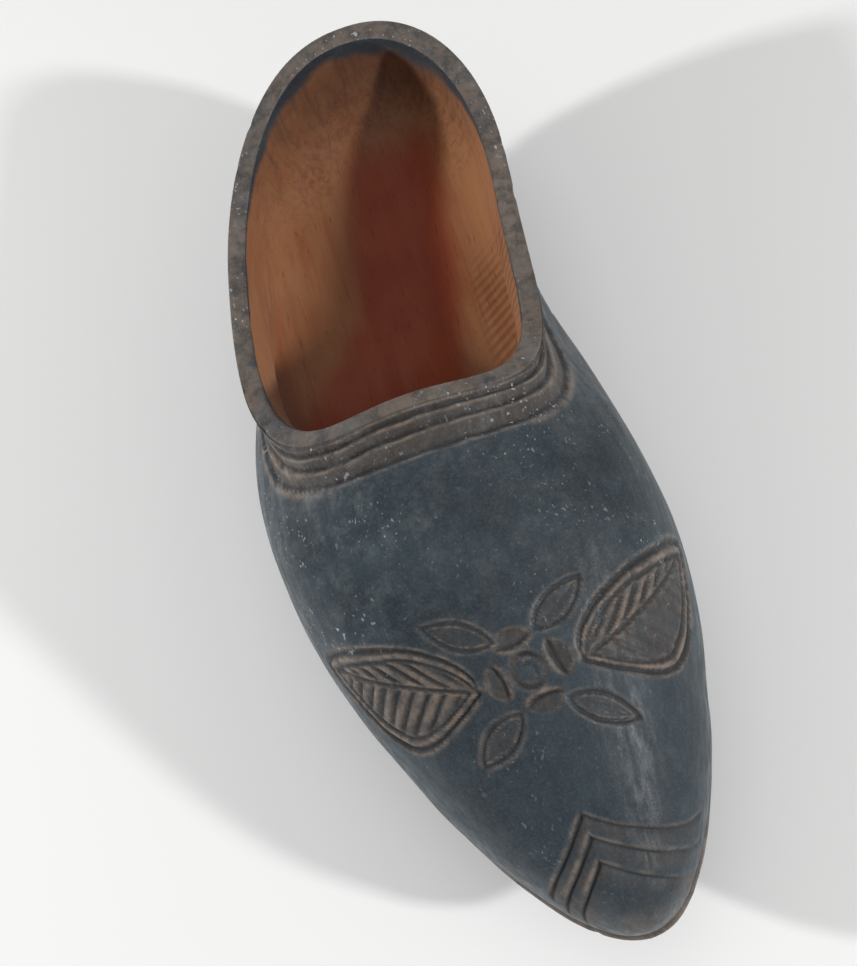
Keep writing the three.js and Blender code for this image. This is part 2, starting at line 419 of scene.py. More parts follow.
def evenly_round(loops: Loops, sizes: ClogSizes, shares: Array) -> tuple[Array, Array]:
    """Spaces points along every loop by the length of wood between them.

    Args:
        loops: the loops.
        sizes: the clog's sizes.
        shares: from 0 at the crest to 1 at the keel, the same on both sides.

    Returns:
        Points that run keel, inner side, crest, outer side, keel, and their signed distances from the crest.
    """
    q = np.linspace(0.0, 1.0, 420)
    phi = math.pi * (1.0 + np.cos(math.pi * q)) / 2
    count = len(loops.half)
    halves = []
    girths = []
    for side in (1.0, -1.0):
        dense = loops.points(sizes, side * phi)
        steps = np.linalg.norm(np.diff(dense, axis=1), axis=-1)
        run = np.concatenate([np.zeros((count, 1)), np.cumsum(steps, axis=1)], axis=1)
        wanted = shares[None, :] * run[:, -1:]
        placed = np.stack([[np.interp(wanted[i], run[i], dense[i, :, k]) for k in range(3)]
                           for i in range(count)])
        halves.append(placed.transpose(0, 2, 1))
        girths.append(side * wanted)
    points = np.concatenate([halves[0][:, ::-1], halves[1][:, 1:]], axis=1)
    return points, np.concatenate([girths[0][:, ::-1], girths[1][:, 1:]], axis=1)


def outward(points: Array) -> Array:
    """Finds the directions in which a surface faces.

    Args:
        points: a grid of points whose rows are closed rings.

    Returns:
        A unit normal for each point.
    """
    ring = points[:, :-1]
    across = np.roll(ring, -1, axis=1) - np.roll(ring, 1, axis=1)
    along = np.gradient(ring, axis=0)
    normal = np.cross(along, across)
    size = np.linalg.norm(normal, axis=-1, keepdims=True)
    normal = normal / np.maximum(size, 1e-9)
    return np.concatenate([normal, normal[:, :1]], axis=1)


# ---- the carving ----


@dataclass
class Cuts:
    """What the carver's tools and the years do to each point of the surface, with painted shade and soiling that
    darken its cuts.
    """

    depth: Array
    worn: Array
    # darkening of the cuts: painted shade, with soiling
    shade_and_grime: Array

    @staticmethod
    def none(shape: tuple[int, ...]) -> Cuts:
        """Returns an untouched surface."""
        return Cuts(np.zeros(shape), np.zeros(shape), np.zeros(shape))

    def add(self, other: Cuts) -> None:
        """Takes the deeper cut, the stronger wear, and the stronger painted shade and soiling, at each point.

        Args:
            other: the cuts to add.
        """
        self.depth = np.maximum(self.depth, other.depth)
        self.worn = np.maximum(self.worn, other.worn)
        self.shade_and_grime = np.maximum(self.shade_and_grime, other.shade_and_grime)


class Side(Enum):
    """The two sides of the clog, seen from above with the toe away."""

    INNER = 1.0
    OUTER = -1.0


@dataclass(frozen=True)
class RimRidges:
    """Stepped ridges that follow the rim's front edge and fade out along the sides.

    Each step is drawn round its line; where the lines stand from the rim's edge differs at the front and at the
    outer corner.
    """

    lines: tuple[float, float, float] = (2.5, 7.0, 13.5)
    front_lines: tuple[float, float, float] = (1.8, 5.7, 11.6)
    corner_lines: tuple[float, float, float] = (2.5, 6.5, 11.2)
    fade_start: float = 97.0
    fade_end: float = 118.0

    def spaced(self, off: Array, stand: tuple[float, float, float]) -> Array:
        """Stretches distances from the rim, so that the drawn lines fall where they stand.

        Args:
            off: distances from the rim's edge.
            stand: where the three lines stand.

        Returns:
            Distances on the drawing.
        """
        drawn = [self.lines[0] - stand[0], *self.lines, self.lines[2] + 18.0]
        return np.interp(off, [0.0, *stand, 30.0], drawn)

    def cut(self, from_rim: Array, s: Array, stray: Array, along: Array) -> Cuts:
        """Cuts the ridges.

        Args:
            from_rim: distance from the rim's outer edge.
            s: distance from the back of the heel.
            stray: a random field that bends the lines a little.
            along: signed distance round from the crest.

        Returns:
            The cuts.
        """
        one, two, three = self.lines
        off = from_rim - 1.2 * ease(-along, 40.0, 75.0) + 0.4 * stray
        corner = ease(-along, 8.0, 30.0)
        d = lerp(self.spaced(off, self.front_lines), self.spaced(off, self.corner_lines), corner)
        places = [one - 1.2, one, one + 1.3, two - 1.2, two, two + 1.3, three - 1.3, three, three + 1.1]
        depths = [0.15, 1.15, 0.0, 0.75, 1.3, 0.05, 0.85, 1.15, 0.0]
        # painted shade and soiling that darken the grooves between the ridges
        ridge_shade_and_grime = [0.0, 0.8, 0.0, 0.25, 0.85, 0.0, 0.25, 0.75, 0.0]
        fade = ease(s, self.fade_start, self.fade_end)
        depth = np.interp(d, places, depths, left=0.0, right=0.0) * fade
        shade_and_grime = np.interp(d, places, ridge_shade_and_grime, left=0.0, right=0.0) * fade
        worn = 0.95 * ease(d, three + 1.0, three - 0.6) * fade
        return Cuts(depth, worn, shade_and_grime)


@dataclass(frozen=True)
class Leaf:
    """A broad leaf with a double outline, a midrib and rows of hatch cuts."""

    side: Side
    root: tuple[float, float] = (73.6, 13.5)
    tip: tuple[float, float] = (63.3, 59.0)
    upper: float = 10.4
    lower: float = 14.0
    border: float = 2.3

    def cut(self, a: Array, g: Array, stray: Array) -> Cuts:
        """Cuts the leaf.

        Args:
            a: distance down the vamp from the rim.
            g: signed distance round from the crest.
            stray: a random field that bends the lines a little.

        Returns:
            The cuts.
        """
        out = g * self.side.value
        reach = math.hypot(self.tip[0] - self.root[0], self.tip[1] - self.root[1])
        axis = ((self.tip[0] - self.root[0]) / reach, (self.tip[1] - self.root[1]) / reach)
        x = (a - self.root[0]) * axis[0] + (out - self.root[1]) * axis[1]
        y = -((a - self.root[0]) * axis[1] - (out - self.root[1]) * axis[0]) + 0.35 * stray
        share = np.clip(x / reach, 0.0, 1.0)
        top = self.upper * np.sin(math.pi * share ** 0.72) ** 0.72
        low = self.lower * np.sin(math.pi * share ** 0.92) ** 1.05
        edge = np.where(y > 0, top, low)
        within = (x > 0) & (x < reach)
        beyond = np.abs(y) - edge
        slant = np.where(share > 0.5, 0.75, 0.9)
        from_edge = np.where(within, beyond * slant, np.hypot(np.minimum(x, reach - x), y))
        outline = vee(from_edge, 0.95, 1.15)
        second = vee(from_edge + self.border, 0.85, 0.95)
        field_depth = 0.25 * ease(from_edge, -self.border + 0.3, -self.border - 0.5)
        rib_bend = 1.2 * np.sin(math.pi * share)
        from_rib = y - rib_bend
        rib = vee(from_rib, 0.8, 0.85) * ease(x, 1.0, 4.0) * ease(x, reach - 2.0, reach - 6.0)
        hatch = self.hatch(x, from_rib, 28.0, 6.4, y > rib_bend)
        lower = 0.4 if self.side is Side.INNER else 1.0
        hatch = np.maximum(hatch, lower * self.hatch(x, from_rib, 56.0, 4.1, y <= rib_bend))
        room = ease(from_edge, -self.border - 0.3, -self.border - 1.5) * ease(np.abs(from_rib), 0.5, 1.4)
        hatch = hatch * room * ease(x, 3.0, 7.0)
        depth = np.maximum.reduce([outline, second, field_depth + np.maximum(rib, hatch)])
        worn = 0.62 * ease(from_edge, 1.5, 0.3)
        # painted shade and soiling in the outlines, the midrib and the hatching
        shade_and_grime = 0.68 * np.clip(np.maximum.reduce([outline, second, rib, hatch]) / 0.95, 0.0, 1.0)
        return Cuts(depth, worn, shade_and_grime)

    def hatch(self, x: Array, from_rib: Array, degrees: float, spacing: float, where: Array) -> Array:
        """Cuts parallel strokes from the midrib towards the tip.

        Args:
            x: distance along the leaf from its root.
            from_rib: distance to the side of the midrib.
            degrees: the angle of the strokes to the rib.
            spacing: how far apart they start along it.
            where: which points they may cut.

        Returns:
            The depth of the strokes.
        """
        angle = math.radians(degrees)
        start = x - np.abs(from_rib) / math.tan(angle)
        offset = (start / spacing + 0.5) % 1.0 - 0.5
        return np.where(where & (start > -1.0), vee(offset * spacing * math.sin(angle), 0.95, 0.95), 0.0)


@dataclass(frozen=True)
class Petal:
    """A slim pointed petal, sunk below its outline, with a faint rib."""

    root: tuple[float, float]
    tip: tuple[float, float]
    half: float = 3.2

    def cut(self, a: Array, g: Array, stray: Array) -> Cuts:
        """Cuts the petal.

        Args:
            a: distance down the vamp from the rim.
            g: signed distance round from the crest.
            stray: a random field that bends the lines a little.

        Returns:
            The cuts.
        """
        reach = math.hypot(self.tip[0] - self.root[0], self.tip[1] - self.root[1])
        axis = ((self.tip[0] - self.root[0]) / reach, (self.tip[1] - self.root[1]) / reach)
        x = (a - self.root[0]) * axis[0] + (g - self.root[1]) * axis[1]
        y = (a - self.root[0]) * axis[1] - (g - self.root[1]) * axis[0] + 0.25 * stray
        share = np.clip(x / reach, 0.0, 1.0)
        edge = self.half * np.sin(math.pi * share ** 0.9) ** 0.85
        from_edge = np.where((x > 0) & (x < reach), (np.abs(y) - edge) * 0.92,
                             np.hypot(np.minimum(x, reach - x), y))
        outline = vee(from_edge, 0.95, 0.9)
        bowl = 0.42 * ease(from_edge, -0.1, -1.3)
        rib = vee(y, 0.55, 0.3) * ease(from_edge, -0.8, -1.6)
        worn = 0.5 * ease(from_edge, 1.1, 0.2)
        # the third value is painted shade and soiling in the outline
        return Cuts(np.maximum(outline, bowl + rib), worn, np.clip(0.65 * outline, 0.0, 1.0))


@dataclass(frozen=True)
class Rosette:
    """A round boss in a cut ring, with four scooped petals round it."""

    centre: tuple[float, float] = (71.6, 0.0)
    boss: float = 4.1
    ring: float = 8.6

    def cut(self, a: Array, g: Array, stray: Array) -> Cuts:
        """Cuts the flower.

        Args:
            a: distance down the vamp from the rim.
            g: signed distance round from the crest.
            stray: a random field that bends the lines a little.

        Returns:
            The cuts.
        """
        u = a - self.centre[0] + 0.3 * stray
        v = g - self.centre[1] + 0.3 * stray
        radius = np.hypot(u, v)
        angle = np.arctan2(v, u)
        result = Cuts.none(a.shape)
        boss_ring = vee(radius - self.boss, 0.95, 0.9) * (0.65 + 0.35 * np.cos(2.0 * angle + 0.6))
        dome = 0.22 * np.clip(radius / self.boss, 0.0, 1.0) ** 2 * (radius < self.boss)
        eye = vee(radius - 0.42 * self.boss, 0.8, 0.5) * ease(np.cos(angle - 2.2), -0.2, 0.6)
        # the third value is painted shade and soiling in the ring round the boss
        result.add(Cuts(np.maximum(boss_ring, dome + eye), 0.7 * ease(radius, self.boss + 1.4, self.boss + 0.2)
                        * ease(radius, self.boss - 1.9, self.boss - 0.5), boss_ring))
        for turn in range(4):
            toward = turn * math.pi / 2 + 0.12
            along = u * math.cos(toward) + v * math.sin(toward) - self.ring
            across = -u * math.sin(toward) + v * math.cos(toward)
            along = along + 0.12 * across * across / 3.0
            oval = np.hypot(along / 2.6, across / 4.3)
            scoop = 0.85 * np.clip(1.0 - oval ** 2, 0.0, 1.0) ** 0.8
            nail = vee(along + 1.7 - 0.09 * across * across, 0.95, 0.7) * ease(oval, 1.25, 0.95)
            # the third value is painted shade and soiling in the scoops and the nail cuts
            result.add(Cuts(scoop + nail, 0.62 * ease(oval, 1.5, 1.05), np.clip(0.25 * scoop + nail, 0.0, 0.8)))
        return result


@dataclass(frozen=True)
class Chevron:
    """One V-shaped step above the toe, with arms that run down both sides."""

    apex: tuple[float, float]
    inner_arm: float = 32.5
    outer_arm: float = 19.0

    def cut(self, a: Array, g: Array, stray: Array) -> Cuts:
        """Cuts the chevron.

        Args:
            a: distance down the vamp from the rim.
            g: signed distance round from the crest.
            stray: a random field that bends the lines a little.

        Returns:
            The cuts.
        """
        run = g - self.apex[1]
        inner = np.maximum(run, 0.0)
        outer = np.maximum(-run, 0.0)
        curl = 0.013 * np.maximum(inner - 14.0, 0.0) ** 2
        drop = np.where(run > 0, 13.0 * (1.0 - np.exp(-inner / 14.0)) - curl, 35.0 * (1.0 - np.exp(-outer / 29.0)))
        slope = np.where(run > 0, 13.0 / 14.0 * np.exp(-inner / 14.0), 35.0 / 29.0 * np.exp(-outer / 29.0))
        past = (a - self.apex[0] - drop) / np.hypot(1.0, slope) + 0.2 * stray
        arm = np.where(run > 0, ease(inner, self.inner_arm + 3.0, self.inner_arm - 4.0),
                       ease(outer, self.outer_arm + 2.5, self.outer_arm - 2.0))
        strength = np.where(run > 0, 0.75, 1.0)
        recover = np.where(run > 0, 4.2, 2.6)
        step = np.where(past < 0, np.clip(1.0 + past / 0.6, 0.0, 1.0), np.clip(1.0 - past / recover, 0.0, 1.0))
        notch = vee(past - 0.1, 1.1, 1.0)
        depth = (0.62 * step + 0.45 * notch) * arm * strength
        worn = 0.52 * ease(past, -1.2, -0.2) * ease(past, 7.0, 2.0) * arm
        # the third value is painted shade and soiling in the notch under the step
        return Cuts(depth, worn, 0.72 * notch * arm * strength)


@dataclass(frozen=True)
class ToeLip:
    """The blunt toe cap that steps back over the edge of the sole, with an incised line below."""

    notch_height: float = 31.5
    step: float = 0.9
    sides: float = 46.0

    def cut(self, points: Array, sizes: ClogSizes, stray: Array) -> Cuts:
        """Cuts the lip.

        Args:
            points: the smooth surface, in loft millimetres.
            sizes: the clog's sizes.
            stray: a random field that bends the lines a little.

        Returns:
            The cuts.
        """
        s = sizes.length / 2 - points[..., 1]
        back = sizes.length - s
        height = points[..., 2] - (self.notch_height - 0.10 * back) + 0.35 * stray
        near = ease(back, self.sides, 8.0)
        cap = self.step * ease(height, -1.6, 1.2) * ease(height, 17.0, 3.0)
        notch = vee(height - 0.2, 1.6, 0.8)
        line_height = points[..., 2] - (25.5 - 0.75 * back) + 0.3 * stray
        line = vee(line_height, 0.8, 0.8) * ease(back, 17.0, 10.0) * ease(np.abs(line_height), 6.0, 1.0)
        depth = (cap + notch) * near + line
        # painted shade and soiling in the notch over the sole and in the incised line
        shade_and_grime = np.clip(0.3 * notch * near + 0.5 * line, 0.0, 1.0)
        return Cuts(depth, 0.85 * ease(np.abs(height + 2.5), 4.5, 1.5) * near, shade_and_grime)


@dataclass(frozen=True)
class HeelLine:
    """A line incised low on the side over the heel, with a short nick at the waist."""

    height: float = 24.0
    start: float = 34.0
    end: float = 108.0
    nick: float = 101.0

    def cut(self, points: Array, sizes: ClogSizes, stray: Array) -> Cuts:
        """Cuts the line along both sides.

        Args:
            points: the smooth surface, in loft millimetres.
            sizes: the clog's sizes.
            stray: a random field that bends the lines a little.

        Returns:
            The cuts.
        """
        s = sizes.length / 2 - points[..., 1]
        off = points[..., 2] - self.height - 0.25 * stray
        aside = ease(np.abs(points[..., 0] - sizes.swing(s)), 20.0, 30.0)
        run = ease(s, self.start, self.start + 18.0) * ease(s, self.end, self.end - 6.0)
        line = vee(off, 0.9, 0.85) * run * aside
        slant = (s - self.nick) * 0.5 - off * 0.62 + 3.0
        nick = vee(slant, 0.7, 0.8) * ease(off, 0.0, 1.0) * ease(off, 11.0, 8.0) * aside
        depth = np.maximum(line, nick)
        # the third value is painted shade and soiling in the line and the nick
        return Cuts(depth, 0.3 * ease(depth, 0.0, 0.5), np.clip(depth / 0.8, 0.0, 1.0))


# ---- materials ----


class Graph:
    """A thin helper that adds shader nodes and joins them."""

    def __init__(self, name: str) -> None:
        """Starts an empty material with one output.

        Args:
            name: the material's name.
        """
        self.material = bpy.data.materials.new(name)
        self.material.use_nodes = True
        self.tree = self.material.node_tree
        self.tree.nodes.clear()
        self.output = self.tree.nodes.new("ShaderNodeOutputMaterial")

    def node(self, kind: str, inputs: dict[str | int, object] | None = None, **settings: object) -> bpy.types.Node:
        """Adds a node.

        Args:
            kind: the node's type.
            inputs: sockets by name or number, each with a value or a socket to join.
            **settings: the node's own properties.

        Returns:
            The node.
        """
        made = self.tree.nodes.new(kind)
        for key, value in settings.items():
            setattr(made, key, value)
        for key, value in (inputs or {}).items():
            if isinstance(value, bpy.types.NodeSocket):
                self.tree.links.new(value, made.inputs[key])
            else:
                made.inputs[key].default_value = value
        return made

    def place(self, stretch: tuple[float, float, float] = (1, 1, 1),
              turn: tuple[float, float, float] = (0, 0, 0)) -> bpy.types.NodeSocket:
        """Returns the piece's own coordinates, scaled along each axis and turned."""
        own = self.node("ShaderNodeTexCoord").outputs["Object"]
        return self.node("ShaderNodeMapping", {"Vector": own, "Scale": stretch, "Rotation": turn}).outputs[0]

    def noise(self, vector: bpy.types.NodeSocket, scale: float, detail: float = 2.0, rough: float = 0.5,
              warp: float = 0.0) -> bpy.types.NodeSocket:
        """Returns a cloudy pattern from 0 to 1."""
        inputs = {"Vector": vector, "Scale": scale, "Detail": detail, "Roughness": rough, "Distortion": warp}
        return self.node("ShaderNodeTexNoise", inputs).outputs["Fac"]

    def mark(self, name: str) -> bpy.types.NodeSocket:
        """Returns a value stored on the mesh."""
        return self.node("ShaderNodeAttribute", attribute_name=name).outputs["Fac"]

    def maths(self, operation: str, a: object, b: object = 0.0, c: object = 0.0) -> bpy.types.NodeSocket:
        """Returns the result of one sum."""
        return self.node("ShaderNodeMath", {0: a, 1: b, 2: c}, operation=operation).outputs[0]

    def band(self, value: bpy.types.NodeSocket, low: float, high: float, to_low: float = 0.0,
             to_high: float = 1.0) -> bpy.types.NodeSocket:
        """Returns a value that goes smoothly from one level at low to another at high."""
        inputs = {0: value, 1: low, 2: high, 3: to_low, 4: to_high}
        return self.node("ShaderNodeMapRange", inputs, interpolation_type="SMOOTHSTEP").outputs[0]

    def blend(self, share: object, a: object, b: object, mode: str = "MIX") -> bpy.types.NodeSocket:
        """Mixes two colours.

        Args:
            share: how much of the second, as a number or a socket.
            a: the first colour.
            b: the second colour.
            mode: how they mix.

        Returns:
            The mixed colour.
        """
        made = self.node("ShaderNodeMix", data_type="RGBA", blend_type=mode)
        for key, value in ((0, share), (6, a), (7, b)):
            if isinstance(value, bpy.types.NodeSocket):
                self.tree.links.new(value, made.inputs[key])
            else:
                made.inputs[key].default_value = value
        return made.outputs[2]

    def finish(self, shader: bpy.types.Node) -> bpy.types.Material:
        """Joins the shader to the output and returns the material."""
        self.tree.links.new(shader.outputs[0], self.output.inputs["Surface"])
        return self.material


def colour(red: int, green: int, blue: int, gain: float = 1.0) -> tuple[float, float, float, float]:
    """Returns a paint-chart colour as linear light.

    Args:
        red: red, 0 to 255.
        green: green, 0 to 255.
        blue: blue, 0 to 255.
        gain: how much lighter it is mixed.

    Returns:
        The colour, with full cover.
    """
    share = [value / 255.0 for value in (red, green, blue)]
    linear = [v / 12.92 if v <= 0.04045 else ((v + 0.055) / 1.055) ** 2.4 for v in share]
    return (linear[0] * gain, linear[1] * gain, linear[2] * gain, 1.0)


@dataclass(frozen=True)
class AgedPaintAndShade:
    """Old slate-blue oil paint over wood, worn to brown-grey, with the bare wood inside the shoe, and painted
    shade and highlights in their colours.
    """

    name: str = "painted_wood"
    paint: tuple[int, int, int] = (46, 56, 63)
    paint_light: tuple[int, int, int] = (66, 79, 86)
    paint_deep: tuple[int, int, int] = (36, 43, 49)
    wear: tuple[int, int, int] = (60, 55, 52)
    wear_light: tuple[int, int, int] = (84, 76, 70)
    # light tone of the painted highlights and rubbed wood on crests and edges
    edge: tuple[int, int, int] = (138, 122, 109)
    # near-black tone of the painted shade and soiling in the cuts
    shade_and_grime_tone: tuple[int, int, int] = (26, 24, 25)
    dust: tuple[int, int, int] = (190, 195, 198)
    haze: tuple[int, int, int] = (122, 127, 128)
    wood: tuple[int, int, int] = (145, 100, 67)
    wood_deep: tuple[int, int, int] = (130, 80, 48)
    # redder, darker wood for the painted shade in the middle of the insole
    bed_shade: tuple[int, int, int] = (141, 65, 38)
    bed_shade_deep: tuple[int, int, int] = (120, 49, 28)
    pore: tuple[int, int, int] = (60, 30, 20)
    # brown of the tool's fan streaks, and of the painted shade high in the heel and deep in the toe
    streak_and_shade_tone: tuple[int, int, int] = (52, 38, 34)
    gloss: float = 0.26
    sheen: float = 0.1
    relief: float = 0.0006

    def painted(self, g: Graph) -> tuple[bpy.types.NodeSocket, bpy.types.NodeSocket]:
        """Mixes the painted surface.

        Args:
            g: the material's graph.

        Returns:
            Its colour, and its height for the bump.
        """
        worn, shade_and_grime, pale, dusty = g.mark("worn"), g.mark("shade_and_grime"), g.mark("pale"), g.mark("dusty")
        cloud = g.noise(g.place(), 30.0, 4.0, 0.55, 0.4)
        base = g.blend(g.band(cloud, 0.34, 0.66), colour(*self.paint_deep), colour(*self.paint))
        streak = g.noise(g.place((300.0, 30.0, 300.0)), 1.0, 4.0, 0.6)
        base = g.blend(g.band(streak, 0.52, 0.8, 0.0, 0.35), base, colour(*self.paint_light))
        rub = g.noise(g.place(), 105.0, 5.0, 0.7)
        base = g.blend(g.band(rub, 0.54, 0.74, 0.0, 0.5), base, colour(*self.paint_light))
        grain = g.noise(g.place(), 1400.0, 3.0, 0.75)
        base = g.blend(g.band(grain, 0.42, 0.7, 0.0, 0.45), base, colour(*self.paint_light))

        ragged = g.noise(g.place(), 240.0, 5.0, 0.68)
        patches = g.noise(g.place((1.0, 0.7, 1.0)), 22.0, 3.0, 0.55)
        thin = g.maths("MULTIPLY", g.band(patches, 0.60, 0.74), 0.35)
        reach = g.maths("ADD", worn, g.maths("MULTIPLY", g.maths("SUBTRACT", ragged, 0.5), 0.75))
        rubbed = g.maths("MAXIMUM", g.band(reach, 0.25, 0.85, 0.0, 0.95),
                         g.maths("MULTIPLY", thin, g.band(ragged, 0.4, 0.65)))
        fibres = g.noise(g.place((1000.0, 110.0, 1000.0)), 1.0, 3.0, 0.65)
        bare = g.blend(g.band(fibres, 0.4, 0.72, 0.0, 0.55), colour(*self.wear), colour(*self.wear_light))
        bare = g.blend(g.band(grain, 0.45, 0.7, 0.0, 0.5), bare, colour(*self.wear_light))
        base = g.blend(rubbed, base, bare)
        # painted shade and soiling darken the cuts and notches
        base = g.blend(g.band(shade_and_grime, 0.1, 0.9, 0.0, 0.86), base, colour(*self.shade_and_grime_tone))
        # painted highlights on ridge crests, the rim and edges, mixed with rubbed wood
        highlight_and_scuff = g.maths("MULTIPLY", pale, g.band(ragged, 0.36, 0.62, 0.15, 0.7))
        base = g.blend(highlight_and_scuff, base, colour(*self.edge))
        base = self.dusted(g, base, dusty)

        ripple = g.noise(g.place((190.0, 36.0, 190.0)), 1.0, 3.0, 0.55)
        height = g.maths("ADD", g.maths("MULTIPLY", ripple, 0.45), g.maths("MULTIPLY", grain, 0.2))
        height = g.maths("ADD", height, g.maths("MULTIPLY", rub, 0.3))
        height = g.maths("SUBTRACT", height, g.maths("MULTIPLY", rubbed, 0.15))
        return base, height

    def dusted(self, g: Graph, base: bpy.types.NodeSocket,
               dusty: bpy.types.NodeSocket) -> bpy.types.NodeSocket:
        """Scatters a haze and pale specks of dust over a colour.

        Args:
            g: the material's graph.
            base: the colour.
            dusty: how much dust gathers, from 0 to 1.

        Returns:
            The dusty colour.
        """
        haze = g.maths("MULTIPLY", dusty, g.band(g.noise(g.place(), 160.0, 8.0, 0.8), 0.42, 0.72, 0.0, 0.36))
        base = g.blend(haze, base, colour(*self.haze))
        where = g.maths("MULTIPLY", dusty, g.band(g.noise(g.place(), 34.0, 4.0, 0.65), 0.42, 0.62, 0.1, 1.0))
        for scale, low, high in ((620.0, 0.70, 0.76), (1250.0, 0.68, 0.76)):
            fleck = g.noise(g.place((1.0, 0.7, 1.0)), scale, 1.0, 0.5, 0.3)
            speck = g.maths("MULTIPLY", g.band(fleck, low, high, 0.0, 0.8), where)
            base = g.blend(speck, base, colour(*self.dust))
        return base

    def bare(self, g: Graph) -> tuple[bpy.types.NodeSocket, bpy.types.NodeSocket]:
        """Mixes the bare wood inside the shoe.

        Args:
            g: the material's graph.

        Returns:
            Its colour, and its height for the bump.
        """
        bed_shade, cavity_shade = g.mark("bed_shade"), g.mark("cavity_shade")
        grain = g.noise(g.place((330.0, 9.0, 330.0)), 1.0, 4.0, 0.6, 0.3)
        fine = g.noise(g.place((1800.0, 50.0, 1800.0)), 1.0, 3.0, 0.6)
        cloud = g.noise(g.place((1.0, 0.6, 1.0)), 38.0, 4.0, 0.55)
        wall = g.blend(g.band(cloud, 0.36, 0.68, 0.1, 0.75), colour(*self.wood), colour(*self.wood_deep))
        # painted shade: the insole's middle turns redder and darker
        floor = g.blend(g.band(cloud, 0.36, 0.68, 0.1, 0.75), colour(*self.bed_shade), colour(*self.bed_shade_deep))
        reach = g.maths("ADD", bed_shade, g.maths("MULTIPLY", g.maths("SUBTRACT", cloud, 0.5), 0.4))
        base = g.blend(g.band(reach, 0.05, 0.95), wall, floor)
        base = g.blend(g.band(grain, 0.45, 0.72, 0.0, 0.35), base, colour(*self.bed_shade_deep))
        base = g.blend(g.band(fine, 0.5, 0.75, 0.0, 0.22), base, colour(*self.bed_shade_deep))
        pores = g.noise(g.place((1500.0, 120.0, 1500.0)), 1.0, 1.0, 0.5)
        base = g.blend(g.band(pores, 0.68, 0.76, 0.0, 0.4), base, colour(*self.pore))
        spill, chatter = g.mark("spill"), g.mark("chatter")
        fan = g.noise(g.place((620.0, 620.0, 12.0)), 1.0, 2.0, 0.6)
        fanned = g.maths("MULTIPLY", g.band(spill, 0.8, 4.0), g.band(fan, 0.42, 0.68, 0.0, 0.3))
        fanned = g.maths("MULTIPLY", fanned, g.band(bed_shade, 0.3, 0.0))
        base = g.blend(fanned, base, colour(*self.streak_and_shade_tone))
        ribs = g.node("ShaderNodeTexWave", {"Vector": g.place((1.0, 1.0, 1.0), (0.0, 0.0, -0.5)), "Scale": 118.0,
                                            "Distortion": 1.4, "Detail": 1.0, "Detail Scale": 0.35},
                      bands_direction="Y").outputs["Fac"]
        ribbed = g.maths("MULTIPLY", chatter, ribs)
        base = g.blend(g.maths("MULTIPLY", ribbed, 0.35), base, colour(*self.pore))
        # painted shade high on the heel's inner wall and deep in the toe
        shade_mottle = g.noise(g.place(), 60.0, 4.0, 0.55)
        base = g.blend(g.maths("MULTIPLY", cavity_shade, g.band(shade_mottle, 0.3, 0.6, 0.6, 1.0)), base, colour(*self.streak_and_shade_tone))
        height = g.maths("ADD", g.maths("MULTIPLY", grain, 0.3), g.maths("MULTIPLY", fine, 0.2))
        height = g.maths("SUBTRACT", height, g.maths("MULTIPLY", g.band(pores, 0.66, 0.76), 0.2))
        height = g.maths("SUBTRACT", height, g.maths("MULTIPLY", ribbed, 0.6))
        return base, height

    def mixed(self) -> bpy.types.Material:
        """Makes the whole finish.

        Returns:
            The material.
        """
        g = Graph(self.name)
        paint, paint_height = self.painted(g)
        wood, wood_height = self.bare(g)
        inward, spill = g.mark("inward"), g.mark("spill")
        drag = g.noise(g.place((1.0, 1.0, 0.6)), 70.0, 5.0, 0.62)
        loose = g.maths("MULTIPLY", g.maths("SUBTRACT", drag, 0.5), g.maths("MULTIPLY_ADD", spill, 1.7, 1.0))
        inside = g.maths("DIVIDE", g.maths("ADD", g.maths("SUBTRACT", inward, spill), loose),
                         g.maths("MULTIPLY_ADD", spill, 0.8, 0.3))
        inside = g.band(inside, -0.5, 0.5)
        base = g.blend(inside, paint, wood)
        scratch = g.noise(g.place((420.0, 40.0, 420.0)), 1.0, 4.0, 0.65)
        rough_paint = g.band(scratch, 0.32, 0.68, 0.34, 0.62)
        rough_paint = g.maths("ADD", rough_paint, g.maths("MULTIPLY", g.mark("worn"), 0.14))
        rough_wood = g.band(g.noise(g.place((300.0, 20.0, 300.0)), 1.0, 3.0), 0.3, 0.7, 0.66, 0.82)
        rough = g.node("ShaderNodeMix", {0: inside, 2: rough_paint, 3: rough_wood}, data_type="FLOAT").outputs[0]
        height = g.node("ShaderNodeMix", {0: inside, 2: paint_height, 3: wood_height},
                        data_type="FLOAT").outputs[0]
        bump = g.node("ShaderNodeBump", {"Strength": 0.55, "Distance": self.relief, "Height": height})
        shader = g.node("ShaderNodeBsdfPrincipled", {
            "Base Color": base, "Roughness": rough, "Normal": bump.outputs[0],
            "Specular IOR Level": self.gloss,
            "Sheen Weight": self.sheen, "Sheen Roughness": 0.5})
        return g.finish(shader)


@dataclass(frozen=True)
class StudioPaper:
    """Plain pale paper for the floor."""

    name: str = "studio_paper"
    tone: tuple[int, int, int] = (243, 243, 242)

    def mixed(self) -> bpy.types.Material:
        """Makes the paper's material.

        Returns:
            The material.
        """
        g = Graph(self.name)
        tooth = g.noise(g.place(), 900.0, 2.0)
        bump = g.node("ShaderNodeBump", {"Strength": 0.05, "Distance": 0.0002, "Height": tooth})
        shader = g.node("ShaderNodeBsdfPrincipled", {
            "Base Color": colour(*self.tone), "Roughness": 0.9, "Normal": bump.outputs[0]})
        return g.finish(shader)


# ---- pieces ----


